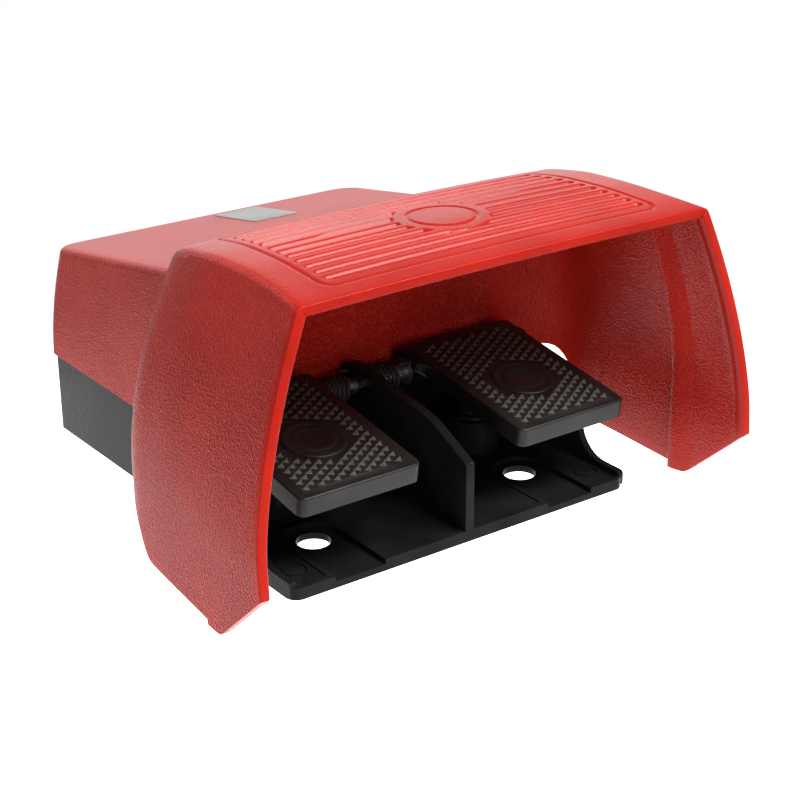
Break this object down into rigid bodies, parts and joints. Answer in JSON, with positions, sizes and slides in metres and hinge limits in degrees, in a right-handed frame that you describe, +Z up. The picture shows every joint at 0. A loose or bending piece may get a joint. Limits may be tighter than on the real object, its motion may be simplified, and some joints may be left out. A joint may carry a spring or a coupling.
{
  "type": "foot pedal switch",
  "caption": "Twin foot pedal switch: black base with tread-plate pedals on one axle, red case and a red flared guard hood with a ribbed top.",
  "frame": {"origin": "middle of the whole part's footprint, on the floor", "axes": "+Z up, +X to the user's right as they face the pedals, -Y to the front, where the foot goes in"},
  "size_m": [0.2716, 0.2844, 0.1492],
  "materials": {
    "red_coat": "hammered powder coat, semi-gloss",
    "black_coat": "gloss",
    "pedal_black": "satin moulded",
    "steel": "zinc plated",
    "spring_steel": "bright",
    "bush_plastic": "satin",
    "rubber_black": "matt",
    "block_plastic": "satin",
    "button_plastic": "satin",
    "terminal_plastic": "satin",
    "brass": "machined",
    "gland_plastic": "satin",
    "label_white": "satin foil"
  },
  "bodies": {
    "housing": {"base_casting": "black_coat", "guard_hood": "red_coat", "case_cover": "red_coat", "housing_gasket": "rubber_black", "rating_label": "label_white", "pivot_axle": "steel", "axle_clips": "spring_steel", "rocker_pins": "steel", "block_screws": "steel", "terminal_block": "terminal_plastic", "terminal_screws": "brass", "earth_screw": "brass", "cover_screws": "steel", "hood_screws": "steel", "gland_body": "gland_plastic", "gland_locknut": "gland_plastic", "gland_nut": "gland_plastic", "gland_seal": "rubber_black", "return_spring_left": "spring_steel", "return_spring_right": "spring_steel", "plunger_boot_left": "rubber_black", "plunger_boot_right": "rubber_black", "contact_block_left": "block_plastic", "contact_block_right": "block_plastic"},
    "pedal_left": {"pedal_left": "pedal_black", "pedal_bushes_left": "bush_plastic"},
    "plunger_left": {"plunger_left": "steel"},
    "rocker_left": {"rocker_left": "steel"},
    "button_left": {"switch_button_left": "button_plastic"},
    "pedal_right": {"pedal_right": "pedal_black", "pedal_bushes_right": "bush_plastic"},
    "plunger_right": {"plunger_right": "steel"},
    "rocker_right": {"rocker_right": "steel"},
    "button_right": {"switch_button_right": "button_plastic"}
  },
  "joints": [
    {"name": "pedal_left_press", "type": "hinge", "parent": "housing", "child": "pedal_left", "pos_m": [-0.0595, -0.014, 0.048], "axis": [1, 0, 0], "range_deg": [0, 9], "stiffness_Nm_per_rad": 1.2, "springref_deg": -31.51, "deforming": ["return_spring_left"]},
    {"name": "plunger_left_slide", "type": "slide", "parent": "housing", "child": "plunger_left", "axis": [0, 0, -1], "range_m": [0, 0.0024], "deforming": ["plunger_boot_left"]},
    {"name": "rocker_left_turn", "type": "hinge", "parent": "housing", "child": "rocker_left", "pos_m": [-0.0595, 0.003, 0.0095], "axis": [1, 0, 0], "range_deg": [0, 4.4]},
    {"name": "button_left_slide", "type": "slide", "parent": "housing", "child": "button_left", "axis": [0, 0, 1], "range_m": [0, 0.002]},
    {"name": "pedal_right_press", "type": "hinge", "parent": "housing", "child": "pedal_right", "pos_m": [0.0595, -0.014, 0.048], "axis": [1, 0, 0], "range_deg": [0, 9], "stiffness_Nm_per_rad": 1.2, "springref_deg": -31.51, "deforming": ["return_spring_right"]},
    {"name": "plunger_right_slide", "type": "slide", "parent": "housing", "child": "plunger_right", "axis": [0, 0, -1], "range_m": [0, 0.0024], "deforming": ["plunger_boot_right"]},
    {"name": "rocker_right_turn", "type": "hinge", "parent": "housing", "child": "rocker_right", "pos_m": [0.0595, 0.003, 0.0095], "axis": [1, 0, 0], "range_deg": [0, 4.4]},
    {"name": "button_right_slide", "type": "slide", "parent": "housing", "child": "button_right", "axis": [0, 0, 1], "range_m": [0, 0.002]}
  ],
  "couplings": [
    {"joint": "plunger_left_slide", "follows": "pedal_left_press", "m_per_rad": 0.0145},
    {"joint": "rocker_left_turn", "follows": "pedal_left_press", "ratio": 0.46774},
    {"joint": "button_left_slide", "follows": "pedal_left_press", "m_per_rad": 0.011694},
    {"joint": "plunger_right_slide", "follows": "pedal_right_press", "m_per_rad": 0.0145},
    {"joint": "rocker_right_turn", "follows": "pedal_right_press", "ratio": 0.46774},
    {"joint": "button_right_slide", "follows": "pedal_right_press", "m_per_rad": 0.011694}
  ]
}
